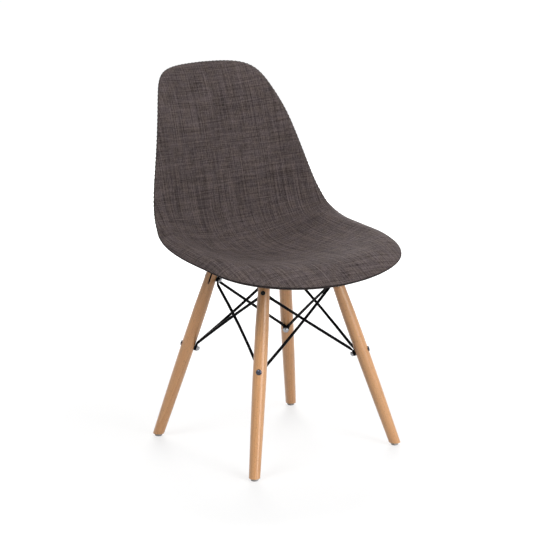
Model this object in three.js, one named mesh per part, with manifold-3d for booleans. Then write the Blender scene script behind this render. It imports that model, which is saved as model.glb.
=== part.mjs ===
// Side chair: an upholstered bucket shell on four splayed beech legs with crossed steel rods.
// Millimetres, +Z up. The sitter faces -Y, +X is to the sitter's left, and the chair stands on z = 0.

import * as THREE from 'three';
import { mergeVertices } from 'three/addons/utils/BufferGeometryUtils.js';
import Module from 'manifold-3d';

const wasm = await Module();
wasm.setup();

// Fits: what lies on a neighbour keeps the seat gap, and what turns or slides in keeps it all round
const seatGap = 0.3;
const overrun = 8;

// Shell: its centre line in side view, measured on the upholstered face
const seatHeight = 424;
const backRise = 393.9;
const shellDepth = 506.2;
const shellSetback = 12.1;
const depthShares = [0, 0.148, 0.267, 0.387, 0.509, 0.629, 0.747, 0.803, 0.824, 0.864, 0.901, 0.943, 1];
const riseShares = [0.056, 0.046, 0.029, 0.008, -0.004, 0, 0.056, 0.207, 0.357, 0.524, 0.699, 0.858, 1];

// Shell: how far its sides stand up out of the centre line, as a bowl that steepens outwards
const shellWidth = 508.1;
const bowlHeight = 96.2;
const bowlPower = 2.2;
const bowlShares = [0.28, 0.29, 0.46, 0.6, 0.76, 0.87, 0.92, 0.79, 0.7, 0.87, 1, 0.92, 0.95];

// Shell: its outline laid flat, from the middle of the front edge round one side to the middle of the top
const widthShares = [0, 0.274, 0.552, 0.822, 0.984, 1, 0.999, 0.977, 0.944, 0.915, 0.858, 0.781, 0.704,
  0.618, 0.513, 0.251, 0];
const lengthShares = [0, 0, 0.016, 0.055, 0.132, 0.218, 0.298, 0.385, 0.473, 0.566, 0.652, 0.734, 0.821,
  0.895, 0.977, 1, 1];
const middleShare = 0.48;

// Shell: its edge rolls outward and down, widest round the seat
const rollWidth = 75;
const rollDrop = 37.2;
const rollWidthShares = [1, 1, 0.96, 0.91, 0.83, 0.8, 0.77, 0.72, 0.59, 0.45, 0.37, 0.32, 0.29, 0.27, 0.27,
  0.27, 0.27];
const rollDropShares = [1, 0.95, 0.92, 0.87, 0.85, 0.85, 0.92, 0.9, 0.7, 0.48, 0.41, 0.34, 0.29, 0.25,
  0.22, 0.18, 0.09];

// Shell: its layers, from the sitter down, and the dark binding in the seam between the two covers
const coverThickness = 1;
const foamThickness = 8;
const foamEdgeThickness = 3;
const coreThickness = 5;
const bindingDiameter = 2.8;

// Shell: the net that its layers share, as rings round the middle and spokes to the edge. The spokes meet
// the outline closer together at its corners
const ringShares = [0, 0.13, 0.25, 0.37, 0.49, 0.6, 0.71, 0.81, 0.9, 0.955, 0.985, 1];
const spokes = 46;
const spokeShares = [0, 0.065, 0.13, 0.18, 0.225, 0.275, 0.345, 0.42, 0.475, 0.53, 0.61, 0.715, 0.8, 0.845,
  0.885, 0.935, 1];
const bindingSides = 6;

// Mounts: a boss on the shell, a rubber spacer, a threaded insert and a screw
const mountRise = 4.9;
const bossDiameter = 34;
const spacerDiameter = 28;
const spacerThickness = 6;
const insertDiameter = 9;
const insertLength = 8;
const screwDiameter = 6;
const screwHeadDiameter = 11;
const screwHeadHeight = 4;
const screwTipSetback = 0.9;

// Brackets: a bent strap from the slot in each leg to a screw under the shell
const strapThickness = 3;
const strapWidth = 20;
const strapBend = 5;
const strapReach = 26;
const strapEndMargin = 12;
const tabEndMargin = 14;

// Bolts through the legs: heads outside, cap nuts inside
const boltDiameter = 6;
const upperBoltDrop = 25;
const lowerBoltHeight = 214;
const upperHeadDiameter = 10;
const upperHeadHeight = 2.5;
const lowerHeadDiameter = 13;
const lowerHeadHeight = 2.5;
const nutWidth = 12;
const nutHeight = 3.5;
const nutDomeDiameter = 11;
const nutDomeHeight = 3.5;
const nutEngagement = 4.5;

// Legs: where each axis meets the floor and where its top end is, from the middle of the chair
const frontFootSide = 196.5;
const frontFootReach = 192.5;
const frontTopSide = 93.5;
const frontTopReach = 90;
const rearFootSide = 190;
const rearFootReach = 176;
const rearTopSide = 96;
const rearTopReach = 86;
const legTopClearance = 6.4;
const legDiameter = 30;
const legDiameterShares = [0.83, 0.985, 1, 0.925, 0.81];
const legFootHeight = 6;
const slotEndClearance = 2;

// Glides: an upright pad under each leg, with a pin up into the wood
const glideDiameter = 17;
const glideEdge = 1.5;
const glidePinDiameter = 5;
const glidePinLength = 14;

// Rods: steel wire with ends pressed flat to eyes, two on every bolt
const rodDiameter = 6.5;
const eyeDiameter = 14;
const eyeThickness = 2.2;
const eyeNeck = 12;
const neckWidth = 8.5;
const neckFlatShare = 0.8;
const neckEaseShare = 0.035;

// Heights that follow: where the spacers bear, where the legs end and where their upper bolts pass
const shellThickness = 2 * coverThickness + foamThickness + coreThickness + 3 * seatGap;
const mountHeight = seatHeight - shellThickness + mountRise;
const flangeBottom = mountHeight - spacerThickness - strapThickness - 2 * seatGap;
const legTopHeight = flangeBottom - legTopClearance;
const upperBoltHeight = legTopHeight - upperBoltDrop;
const tabLength = upperBoltDrop + tabEndMargin;
const slotDepth = tabLength + slotEndClearance;

// Smoothness of round pieces
const roundSides = 20;
const bossSides = 16;
const smallSides = 12;
const domeSteps = 2;
const rodSides = 8;
const rodStations = 5;

const finishes = {
  fabric: { color: 0x54494a, roughness: 0.95, metalness: 0 },
  foam: { color: 0xd8cfae, roughness: 0.9, metalness: 0 },
  shellPlastic: { color: 0x2b2b2c, roughness: 0.6, metalness: 0 },
  binding: { color: 0x1d1a19, roughness: 0.9, metalness: 0 },
  beech: { color: 0xc79a70, roughness: 0.45, metalness: 0 },
  blackSteel: { color: 0x141414, roughness: 0.4, metalness: 0.6 },
  darkSteel: { color: 0x62656f, roughness: 0.3, metalness: 1 },
  brightSteel: { color: 0xb9bcc0, roughness: 0.25, metalness: 1 },
  brass: { color: 0xb08d4a, roughness: 0.4, metalness: 1 },
  rubber: { color: 0x1a1a1a, roughness: 0.85, metalness: 0 },
  glidePlastic: { color: 0x8a8a88, roughness: 0.5, metalness: 0 },
};

function finish(name) {
  return new THREE.MeshStandardMaterial(finishes[name]);
}

function piece(name, geometry, finishName) {
  const mesh = new THREE.Mesh(geometry, finish(finishName));
  mesh.name = name;
  return mesh;
}

// Solids for cutting and joining
function toSolid(geometry) {
  const bare = geometry.clone();
  bare.deleteAttribute('normal');
  bare.deleteAttribute('uv');
  const merged = mergeVertices(bare);
  return new wasm.Manifold(new wasm.Mesh({
    numProp: 3,
    vertProperties: new Float32Array(merged.attributes.position.array),
    triVerts: new Uint32Array(merged.index.array),
  }));
}

function fromSolid(solid) {
  const mesh = solid.getMesh();
  const geometry = new THREE.BufferGeometry();
  geometry.setAttribute('position', new THREE.BufferAttribute(new Float32Array(mesh.vertProperties), 3));
  geometry.setIndex(new THREE.BufferAttribute(new Uint32Array(mesh.triVerts), 1));
  geometry.computeVertexNormals();
  return geometry;
}

// A geometry less the cutters and then with the additions
function shaped(geometry, cutters, additions = []) {
  let solid = toSolid(geometry);
  for (const addition of additions) solid = solid.add(toSolid(addition));
  for (const cutter of cutters) solid = solid.subtract(toSolid(cutter));
  return fromSolid(solid);
}

// A round bar along z between two heights
function barAlongZ(diameter, from, to, sides) {
  const geometry = new THREE.CylinderGeometry(diameter / 2, diameter / 2, to - from, sides);
  return geometry.rotateX(Math.PI / 2).translate(0, 0, (from + to) / 2);
}

// A round bar along x between two places
function barAlongX(diameter, from, to, sides) {
  return barAlongZ(diameter, from, to, sides).rotateY(Math.PI / 2);
}

// A turned solid: pairs of radius and height, from the axis at the bottom to the axis at the top
function turned(pairs, sides) {
  const points = pairs.map(([radius, height]) => new THREE.Vector2(radius, height));
  return new THREE.LatheGeometry(points, sides).rotateX(Math.PI / 2);
}

// The points of a dome's profile, from its rim up to the axis
function domeProfile(radius, base, height) {
  const points = [];
  for (let step = 0; step < domeSteps; step += 1) {
    const angle = (Math.PI / 2) * (step / domeSteps);
    points.push([radius * Math.cos(angle), base + height * Math.sin(angle)]);
  }
  return [...points, [0, base + height]];
}

// A smooth run through evenly spaced values: a cubic B-spline that starts and ends on the table's ends
function smooth(table, at) {
  const last = table.length - 1;
  const place = THREE.MathUtils.clamp(at, 0, 1) * last;
  const step = Math.min(Math.floor(place), last - 1);
  const f = place - step;
  const before = step > 0 ? table[step - 1] : 2 * table[0] - table[1];
  const after = step + 2 <= last ? table[step + 2] : 2 * table[last] - table[last - 1];
  const a = (1 - f) ** 3;
  const b = 3 * f ** 3 - 6 * f ** 2 + 4;
  const c = -3 * f ** 3 + 3 * f ** 2 + 3 * f + 1;
  return (a * before + b * table[step] + c * table[step + 1] + f ** 3 * after) / 6;
}

// The shell's centre line, from the front edge to the top
class CentreLine extends THREE.Curve {
  getPoint(at) {
    const reach = shellSetback - shellDepth / 2 + shellDepth * smooth(depthShares, at);
    return new THREE.Vector3(0, reach, seatHeight + backRise * smooth(riseShares, at));
  }
}

const centreLine = new CentreLine();
const centreLength = centreLine.getLength();

// A point of the upholstered face: a share of the way out along a spoke, at a place along half the outline
function facePoint(ringShare, outlineShare, side) {
  const edgeAcross = (shellWidth / 2) * smooth(widthShares, outlineShare);
  const edgeAlong = smooth(lengthShares, outlineShare) - middleShare;
  const spokeLength = Math.hypot(edgeAcross, edgeAlong * centreLength);
  const across = ringShare * edgeAcross;
  const along = middleShare + ringShare * edgeAlong;
  const inset = (1 - ringShare) * spokeLength;
  const rolled = Math.max(0, 1 - inset / (rollWidth * smooth(rollWidthShares, outlineShare)));
  const drop = rollDrop * smooth(rollDropShares, outlineShare) * rolled ** 2;
  const bowl = bowlHeight * smooth(bowlShares, along) * (across / (shellWidth / 2)) ** bowlPower;
  const tangent = centreLine.getTangent(along);
  const up = new THREE.Vector3(0, -tangent.z, tangent.y);
  return centreLine.getPoint(along).addScaledVector(up, bowl - drop).setX(side * across);
}

// The net over the whole face: one middle point, then ring after ring, each anticlockwise seen by the sitter
function faceNet() {
  const points = [facePoint(0, 0, 1)];
  for (const ringShare of ringShares.slice(1)) {
    for (let spoke = 0; spoke < spokes; spoke += 1) {
      const turn = (2 * spoke) / spokes;
      const outlineShare = smooth(spokeShares, turn <= 1 ? turn : 2 - turn);
      points.push(facePoint(ringShare, outlineShare, turn <= 1 ? 1 : -1));
    }
  }
  return points;
}

// Triangles of the net out to a ring, as triples of point numbers
function netTriangles(rings) {
  const triangles = [];
  const at = (ring, spoke) => (ring === 0 ? 0 : 1 + (ring - 1) * spokes + (spoke % spokes));
  for (let ring = 1; ring <= rings; ring += 1) {
    for (let spoke = 0; spoke < spokes; spoke += 1) {
      triangles.push([at(ring - 1, spoke), at(ring, spoke), at(ring, spoke + 1)]);
      if (ring > 1) triangles.push([at(ring - 1, spoke), at(ring, spoke + 1), at(ring - 1, spoke + 1)]);
    }
  }
  return triangles;
}

const net = faceNet();
const lastRing = ringShares.length - 1;
const netNormals = smoothNormals(net, netTriangles(lastRing));

// The mean direction of the faces round each point
function smoothNormals(points, triangles) {
  const geometry = new THREE.BufferGeometry().setFromPoints(points);
  geometry.setIndex(triangles.flat());
  geometry.computeVertexNormals();
  const normals = geometry.attributes.normal;
  return points.map((point, index) => new THREE.Vector3().fromBufferAttribute(normals, index));
}

// A layer of the shell out to a ring, between two depths under the face that may vary from ring to ring
function shellLayer(rings, topDepth, bottomDepth) {
  const count = 1 + rings * spokes;
  const ringOf = (index) => Math.ceil(index / spokes);
  const sunk = (index, depth) => net[index].clone().addScaledVector(netNormals[index], -depth(ringOf(index)));
  const points = [];
  for (let index = 0; index < count; index += 1) points.push(sunk(index, topDepth));
  for (let index = 0; index < count; index += 1) points.push(sunk(index, bottomDepth));
  const top = netTriangles(rings);
  const bottom = top.map(([a, b, c]) => [count + a, count + c, count + b]);
  const edge = [];
  const first = 1 + (rings - 1) * spokes;
  for (let spoke = 0; spoke < spokes; spoke += 1) {
    const here = first + spoke;
    const next = first + ((spoke + 1) % spokes);
    edge.push([here, count + here, count + next], [here, count + next, next]);
  }
  const geometry = new THREE.BufferGeometry().setFromPoints(points);
  geometry.setIndex([...top, ...bottom, ...edge].flat());
  geometry.computeVertexNormals();
  return geometry;
}

// Depths of the layers' faces under the upholstered face, at each ring
const coverBack = () => coverThickness;
const foamFront = () => coverThickness + seatGap;
const foamBack = (ring) => {
  const centred = 1 - (ringShares[ring] / ringShares[lastRing - 1]) ** 2;
  return foamFront() + foamEdgeThickness + (foamThickness - foamEdgeThickness) * Math.max(0, centred);
};
const coreFront = (ring) => foamBack(ring) + seatGap;
const coreBack = (ring) => coreFront(ring) + coreThickness;
const backCoverFront = (ring) => (ring === lastRing ? coverThickness : coreBack(ring)) + seatGap;
const backCoverBack = (ring) => backCoverFront(ring) + coverThickness;

// One of the four corners of the underframe. Its own x runs inward, its y along the tangent and its z up
function makeCorner(name, footPlace, topPlace) {
  const inward = new THREE.Vector3().subVectors(topPlace, footPlace);
  const upright = new THREE.Group();
  upright.position.copy(topPlace);
  upright.rotation.z = Math.atan2(inward.y, inward.x);
  const stake = new THREE.Group();
  stake.rotation.y = Math.atan2(Math.hypot(inward.x, inward.y), inward.z);
  upright.add(stake);
  upright.updateMatrixWorld(true);
  return { name, upright, stake, lean: stake.rotation.y, length: inward.length() };
}

function frontCorner(name, side) {
  const foot = new THREE.Vector3(side * frontFootSide, -frontFootReach, 0);
  const top = new THREE.Vector3(side * frontTopSide, -frontTopReach, legTopHeight);
  return makeCorner(name, foot, top);
}

function rearCorner(name, side) {
  const foot = new THREE.Vector3(side * rearFootSide, rearFootReach, 0);
  const top = new THREE.Vector3(side * rearTopSide, rearTopReach, legTopHeight);
  return makeCorner(name, foot, top);
}

const corners = [
  frontCorner('front_left', 1),
  rearCorner('rear_left', 1),
  rearCorner('rear_right', -1),
  frontCorner('front_right', -1),
];

// Heights along a leaning leg are measured from its top end, so they are negative
function alongStake(corner, height) {
  return (height - legTopHeight) / Math.cos(corner.lean);
}

function legEnd(corner) {
  return alongStake(corner, legFootHeight);
}

// The leg's radius at a place along it: straight tapers between evenly spaced diameters, from its top
function legRadius(corner, along) {
  const runs = legDiameterShares.length - 1;
  const place = THREE.MathUtils.clamp(along / legEnd(corner), 0, 1) * runs;
  const step = Math.min(Math.floor(place), runs - 1);
  const share = THREE.MathUtils.lerp(legDiameterShares[step], legDiameterShares[step + 1], place - step);
  return (legDiameter / 2) * share;
}

function boltPlaces(corner) {
  return { upper: alongStake(corner, upperBoltHeight), lower: alongStake(corner, lowerBoltHeight) };
}

// A shape made upright round the middle of a leg's lower end, as the leaning leg sees it
function atFoot(corner, geometry) {
  geometry.translate(legEnd(corner) * Math.sin(corner.lean), 0, legFootHeight - legTopHeight);
  return geometry.rotateY(-corner.lean);
}

// Leg: turned from beech, cut level at its foot, slotted at the top, bored for two bolts and for the glide's pin
function makeLeg(corner) {
  const end = legEnd(corner);
  const runs = legDiameterShares.length - 1;
  const tapers = legDiameterShares.map((share, step) => [(legDiameter / 2) * share, (end * step) / runs]);
  const footRadius = legRadius(corner, end);
  const profile = [
    [0, end - overrun],
    [footRadius, end - overrun],
    ...tapers.reverse(),
    [0, 0],
  ];
  const underFoot = new THREE.BoxGeometry(2 * legDiameter, 2 * legDiameter, legDiameter);
  const footCut = atFoot(corner, underFoot.translate(0, 0, -legDiameter / 2));
  const bolts = boltPlaces(corner);
  const slot = new THREE.BoxGeometry(strapThickness + 2 * seatGap, legDiameter, slotDepth + overrun);
  slot.translate(0, 0, (overrun - slotDepth) / 2);
  const bore = boltDiameter + 2 * seatGap;
  const upperBore = barAlongX(bore, -legDiameter, legDiameter, smallSides).translate(0, 0, bolts.upper);
  const lowerBore = barAlongX(bore, -legDiameter, legDiameter, smallSides).translate(0, 0, bolts.lower);
  const recess = barAlongX(
    upperHeadDiameter + 2 * seatGap,
    -legDiameter,
    -legRadius(corner, bolts.upper) + upperHeadHeight + seatGap,
    smallSides,
  ).translate(0, 0, bolts.upper);
  const pinHole = barAlongZ(glidePinDiameter + 2 * seatGap, -overrun, glidePinLength + seatGap, smallSides);
  const cutters = [slot, upperBore, lowerBore, recess, footCut, atFoot(corner, pinHole)];
  return shaped(turned(profile, roundSides), cutters);
}

// Glide: a round pad that stands flat on the floor under the leg's lower end, with a pin
function makeGlide(corner) {
  const top = -seatGap;
  const pad = turned([
    [0, -legFootHeight],
    [glideDiameter / 2 - glideEdge, -legFootHeight],
    [glideDiameter / 2, glideEdge - legFootHeight],
    [glideDiameter / 2, top],
    [glidePinDiameter / 2, top],
    [glidePinDiameter / 2, top + glidePinLength],
    [0, top + glidePinLength],
  ], smallSides);
  return atFoot(corner, pad);
}

// Bracket: a strap bent from the leg's slot to lie flat under the spacer
function makeBracket(corner) {
  const under = flangeBottom - legTopHeight;
  const over = under + strapThickness;
  const lean = corner.lean;
  const half = strapThickness / 2;
  const along = (distance, across) => new THREE.Vector2(
    Math.sin(lean) * distance + Math.cos(lean) * across,
    Math.cos(lean) * distance - Math.sin(lean) * across,
  );
  const crossing = (across, level) => (level + Math.sin(lean) * across) / Math.cos(lean);
  const outerCorner = along(crossing(-half, over), -half);
  const innerCorner = along(crossing(half, under), half);
  const outerBend = strapBend + strapThickness;
  const farEnd = outerCorner.x + strapReach + strapEndMargin;
  const outerStart = along(crossing(-half, over) - outerBend, -half);
  const innerEnd = along(crossing(half, under) - strapBend, half);
  const tabOuter = along(-tabLength, -half);
  const tabInner = along(-tabLength, half);
  const outline = new THREE.Shape();
  outline.moveTo(tabOuter.x, tabOuter.y);
  outline.lineTo(outerStart.x, outerStart.y);
  outline.quadraticCurveTo(outerCorner.x, outerCorner.y, outerCorner.x + outerBend, over);
  outline.lineTo(farEnd, over);
  outline.lineTo(farEnd, under);
  outline.lineTo(innerCorner.x + strapBend, under);
  outline.quadraticCurveTo(innerCorner.x, innerCorner.y, innerEnd.x, innerEnd.y);
  outline.lineTo(tabInner.x, tabInner.y);
  const strap = new THREE.ExtrudeGeometry(outline, { depth: strapWidth, bevelEnabled: false, curveSegments: 5 });
  strap.rotateX(Math.PI / 2).translate(0, strapWidth / 2, 0);
  const bolt = barAlongX(boltDiameter + 2 * seatGap, -overrun, overrun, smallSides);
  bolt.translate(0, 0, boltPlaces(corner).upper).rotateY(lean);
  const screw = barAlongZ(screwDiameter + 2 * seatGap, under - overrun, over + overrun, smallSides);
  screw.translate(screwOffset(corner), 0, 0);
  return shaped(strap, [bolt, screw]);
}

// How far inward of the leg's top the screw stands
function screwOffset(corner) {
  return Math.tan(corner.lean) * (mountHeight - legTopHeight) + strapReach - strapThickness;
}

// Where a corner's screw meets the shell, seen from above
function screwPlace(corner) {
  return new THREE.Vector3(screwOffset(corner), 0, 0).applyMatrix4(corner.upright.matrixWorld).setZ(0);
}

function makeSpacer() {
  const top = mountHeight - seatGap;
  const puck = barAlongZ(spacerDiameter, top - spacerThickness, top, roundSides);
  const hole = barAlongZ(screwDiameter + 2 * seatGap, top - spacerThickness - overrun, top + overrun, smallSides);
  return shaped(puck, [hole]);
}

function makeInsert() {
  const top = mountHeight + insertLength;
  const sleeve = barAlongZ(insertDiameter, mountHeight, top, smallSides);
  const thread = barAlongZ(screwDiameter + 2 * seatGap, mountHeight - overrun, top + overrun, smallSides);
  return shaped(sleeve, [thread]);
}

// Seat screw: a pan head under the bracket and a shank up through the spacer, just short of the insert's end
function makeSeatScrew() {
  const seat = flangeBottom - seatGap;
  const tip = mountHeight + insertLength - screwTipSetback;
  return turned([
    ...domeProfile(screwHeadDiameter / 2, seat, -screwHeadHeight).reverse(),
    [screwDiameter / 2, seat],
    [screwDiameter / 2, tip],
    [0, tip],
  ], smallSides);
}

// Shell core: the moulded shell with a boss and a blind hole at each mount
function makeCore() {
  const below = (ring) => coreBack(ring) + bossDiameter;
  const middle = (ring) => coreFront(ring) + coreThickness / 2;
  const underShell = toSolid(shellLayer(lastRing - 1, middle, below));
  let core = toSolid(shellLayer(lastRing - 1, coreFront, coreBack));
  for (const corner of corners) {
    const place = screwPlace(corner);
    const post = barAlongZ(bossDiameter, mountHeight, seatHeight + bossDiameter, bossSides);
    const boss = toSolid(post.translate(place.x, place.y, 0)).intersect(underShell);
    const holeTop = mountHeight + insertLength + seatGap;
    const hole = barAlongZ(insertDiameter + 2 * seatGap, mountHeight - overrun, holeTop, smallSides);
    core = core.add(boss).subtract(toSolid(hole.translate(place.x, place.y, 0)));
  }
  return fromSolid(core);
}

// Back cover: the fabric under and behind the shell, holed round each boss
function makeBackCover() {
  const holes = corners.map((corner) => {
    const place = screwPlace(corner);
    const hole = barAlongZ(bossDiameter + 4 * seatGap, 0, seatHeight + bossDiameter, bossSides);
    return hole.translate(place.x, place.y, 0);
  });
  return shaped(shellLayer(lastRing, backCoverFront, backCoverBack), holes);
}

// Binding: a thin cord round the seam between the covers
function makeBinding() {
  const first = 1 + (lastRing - 1) * spokes;
  const radius = bindingDiameter / 2;
  const seamDepth = coverThickness + seatGap / 2;
  const points = [];
  for (let spoke = 0; spoke < spokes; spoke += 1) {
    const edge = net[first + spoke];
    const normal = netNormals[first + spoke];
    const before = net[first + ((spoke + spokes - 1) % spokes)];
    const after = net[first + ((spoke + 1) % spokes)];
    const outward = new THREE.Vector3().subVectors(after, before).cross(normal).normalize();
    const centre = edge.clone().addScaledVector(normal, -seamDepth).addScaledVector(outward, radius + seatGap);
    for (let side = 0; side < bindingSides; side += 1) {
      const angle = (2 * Math.PI * side) / bindingSides;
      const point = centre.clone().addScaledVector(outward, radius * Math.cos(angle));
      points.push(point.addScaledVector(normal, radius * Math.sin(angle)));
    }
  }
  const triangles = [];
  for (let spoke = 0; spoke < spokes; spoke += 1) {
    for (let side = 0; side < bindingSides; side += 1) {
      const here = spoke * bindingSides;
      const next = ((spoke + 1) % spokes) * bindingSides;
      const up = (side + 1) % bindingSides;
      triangles.push(here + side, next + side, next + up, here + side, next + up, here + up);
    }
  }
  const geometry = new THREE.BufferGeometry().setFromPoints(points);
  geometry.setIndex(triangles);
  geometry.computeVertexNormals();
  return geometry;
}

// Places along the upper or lower bolt, inward of the leg's axis
function eyeStations(corner, along) {
  const first = legRadius(corner, along) + seatGap + eyeThickness / 2;
  return { near: first, far: first + eyeThickness + seatGap };
}

function nutSeat(corner, along) {
  return eyeStations(corner, along).far + eyeThickness / 2 + seatGap;
}

// Upper bolt: a flat head let into the leg
function makeUpperBolt(corner) {
  const along = boltPlaces(corner).upper;
  const headSeat = -legRadius(corner, along) + upperHeadHeight;
  return turned([
    [0, headSeat - upperHeadHeight],
    [upperHeadDiameter / 2, headSeat - upperHeadHeight],
    [upperHeadDiameter / 2, headSeat],
    [boltDiameter / 2, headSeat],
    [boltDiameter / 2, nutSeat(corner, along) + nutEngagement],
    [0, nutSeat(corner, along) + nutEngagement],
  ], smallSides).rotateY(Math.PI / 2).translate(0, 0, along);
}

// Lower bolt: a domed head against the outside of the leg
function makeLowerBolt(corner) {
  const along = boltPlaces(corner).lower;
  const headSeat = -legRadius(corner, along) - seatGap;
  return turned([
    ...domeProfile(lowerHeadDiameter / 2, headSeat, -lowerHeadHeight).reverse(),
    [boltDiameter / 2, headSeat],
    [boltDiameter / 2, nutSeat(corner, along) + nutEngagement],
    [0, nutSeat(corner, along) + nutEngagement],
  ], smallSides).rotateY(Math.PI / 2).translate(0, 0, along);
}

// Cap nut: a hexagon with a dome, bored for the bolt's end
function makeCapNut(corner, along) {
  const seat = nutSeat(corner, along);
  const hexagon = barAlongZ(nutWidth / Math.cos(Math.PI / 6), seat, seat + nutHeight, 6);
  const shoulder = seat + nutHeight;
  const dome = turned([
    [0, seat + nutHeight / 2],
    [nutDomeDiameter / 2, seat + nutHeight / 2],
    ...domeProfile(nutDomeDiameter / 2, shoulder, nutDomeHeight),
  ], smallSides);
  const bore = barAlongZ(
    boltDiameter + 2 * seatGap,
    seat - overrun,
    seat + nutEngagement + seatGap,
    smallSides,
  );
  const nut = shaped(hexagon, [bore], [dome]);
  return nut.rotateY(Math.PI / 2).translate(0, 0, along);
}

// A place on a bolt and the bolt's inward direction, in the chair's own frame
function boltPoint(corner, along, station) {
  return new THREE.Vector3(station, 0, along).applyMatrix4(corner.stake.matrixWorld);
}

function boltDirection(corner) {
  return new THREE.Vector3(1, 0, 0).transformDirection(corner.stake.matrixWorld);
}

// An eye's disc round a bolt
function eyeDisc(centre, direction, diameter, thickness) {
  const disc = barAlongZ(diameter, -thickness / 2, thickness / 2, smallSides);
  const turn = new THREE.Quaternion().setFromUnitVectors(new THREE.Vector3(0, 0, 1), direction);
  return disc.applyQuaternion(turn).translate(centre.x, centre.y, centre.z);
}

// The way of a cross rod from an upper bolt to the next leg's lower bolt, with a neck in the plane of each eye
function makeWay(fromCorner, toCorner, station) {
  const fromAlong = boltPlaces(fromCorner).upper;
  const toAlong = boltPlaces(toCorner).lower;
  const from = boltPoint(fromCorner, fromAlong, eyeStations(fromCorner, fromAlong)[station]);
  const to = boltPoint(toCorner, toAlong, eyeStations(toCorner, toAlong)[station]);
  const fromDirection = boltDirection(fromCorner);
  const toDirection = boltDirection(toCorner);
  const span = new THREE.Vector3().subVectors(to, from);
  const neckFrom = from.clone().add(span.clone().projectOnPlane(fromDirection).setLength(eyeNeck));
  const neckTo = to.clone().sub(span.clone().projectOnPlane(toDirection).setLength(eyeNeck));
  const inward = new THREE.Vector3().addVectors(fromDirection, toDirection).setZ(0).normalize();
  return { from, to, fromDirection, toDirection, neckFrom, neckTo, inward };
}

// The shape of a rod's bow: none at its ends and 1 in the middle, straight between the rod's stations
function bowShare(share) {
  const runs = rodStations - 1;
  const first = Math.min(Math.floor(share * runs), runs - 1);
  const at = (station) => Math.sin((Math.PI * station) / runs);
  return THREE.MathUtils.lerp(at(first), at(first + 1), share * runs - first);
}

// How far a rod bows inward (1) or outward (-1) so that it just clears the rod that crosses it
function crossingBow(way, other, direction) {
  const run = new THREE.Vector3().subVectors(way.neckTo, way.neckFrom);
  const otherRun = new THREE.Vector3().subVectors(other.neckTo, other.neckFrom);
  const between = new THREE.Vector3().subVectors(other.neckFrom, way.neckFrom);
  const normal = new THREE.Vector3().crossVectors(run, otherRun);
  const share = new THREE.Vector3().crossVectors(between, otherRun).dot(normal) / normal.lengthSq();
  normal.normalize();
  const slant = normal.dot(way.inward);
  const lead = -direction * Math.sign(slant) * between.dot(normal);
  const wanted = Math.max(0, rodDiameter + 2 * seatGap - lead);
  return (direction * wanted) / (2 * bowShare(share) * Math.abs(slant));
}

// Cross rod: a wire along its way, flattened and bent at both eyes, and bowed inward or outward
function makeRod(way, bow) {
  const sections = [];
  const toward = (start, end, distance) => start.clone().add(end.clone().sub(start).setLength(distance));
  const addNeck = (eye, neck, direction, distance) => {
    sections.push({ place: toward(eye, neck, distance), direction, width: neckWidth, thickness: eyeThickness });
  };
  addNeck(way.from, way.neckFrom, way.fromDirection, eyeDiameter / 4);
  addNeck(way.from, way.neckFrom, way.fromDirection, eyeNeck * neckFlatShare);
  for (let step = 0; step < rodStations; step += 1) {
    const share = step / (rodStations - 1);
    const place = way.neckFrom.clone().lerp(way.neckTo, neckEaseShare + (1 - 2 * neckEaseShare) * share);
    place.addScaledVector(way.inward, bow * bowShare(share));
    const direction = way.fromDirection.clone().lerp(way.toDirection, share);
    sections.push({ place, direction, width: rodDiameter, thickness: rodDiameter });
  }
  addNeck(way.to, way.neckTo, way.toDirection, eyeNeck * neckFlatShare);
  addNeck(way.to, way.neckTo, way.toDirection, eyeDiameter / 4);
  const discs = [
    eyeDisc(way.from, way.fromDirection, eyeDiameter, eyeThickness),
    eyeDisc(way.to, way.toDirection, eyeDiameter, eyeThickness),
  ];
  const bore = boltDiameter + 2 * seatGap;
  const holes = [
    eyeDisc(way.from, way.fromDirection, bore, eyeThickness + overrun),
    eyeDisc(way.to, way.toDirection, bore, eyeThickness + overrun),
  ];
  return shaped(lofted(sections), holes, discs);
}

// A closed bar through oval sections, each given by its place, its flat direction, width and thickness
function lofted(sections) {
  const points = [];
  sections.forEach((section, index) => {
    const before = sections[Math.max(0, index - 1)].place;
    const after = sections[Math.min(sections.length - 1, index + 1)].place;
    const run = new THREE.Vector3().subVectors(after, before).normalize();
    const across = new THREE.Vector3().crossVectors(run, section.direction).normalize();
    const flat = new THREE.Vector3().crossVectors(across, run);
    for (let side = 0; side < rodSides; side += 1) {
      const angle = (2 * Math.PI * side) / rodSides;
      const point = section.place.clone().addScaledVector(across, (section.width / 2) * Math.cos(angle));
      points.push(point.addScaledVector(flat, (section.thickness / 2) * Math.sin(angle)));
    }
  });
  const triangles = [];
  for (let index = 0; index < sections.length - 1; index += 1) {
    for (let side = 0; side < rodSides; side += 1) {
      const here = index * rodSides;
      const next = here + rodSides;
      const up = (side + 1) % rodSides;
      triangles.push(here + side, next + up, here + up, here + side, next + side, next + up);
    }
  }
  const lastStart = (sections.length - 1) * rodSides;
  for (let side = 1; side < rodSides - 1; side += 1) {
    triangles.push(0, side, side + 1, lastStart, lastStart + side + 1, lastStart + side);
  }
  const geometry = new THREE.BufferGeometry().setFromPoints(points);
  geometry.setIndex(triangles);
  geometry.computeVertexNormals();
  return geometry;
}

// Assembly
const chair = new THREE.Group();

function addShell() {
  chair.add(piece('front_cover', shellLayer(lastRing, () => 0, coverBack), 'fabric'));
  chair.add(piece('seat_foam', shellLayer(lastRing - 1, foamFront, foamBack), 'foam'));
  chair.add(piece('shell_core', makeCore(), 'shellPlastic'));
  chair.add(piece('back_cover', makeBackCover(), 'fabric'));
  chair.add(piece('edge_binding', makeBinding(), 'binding'));
}

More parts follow.
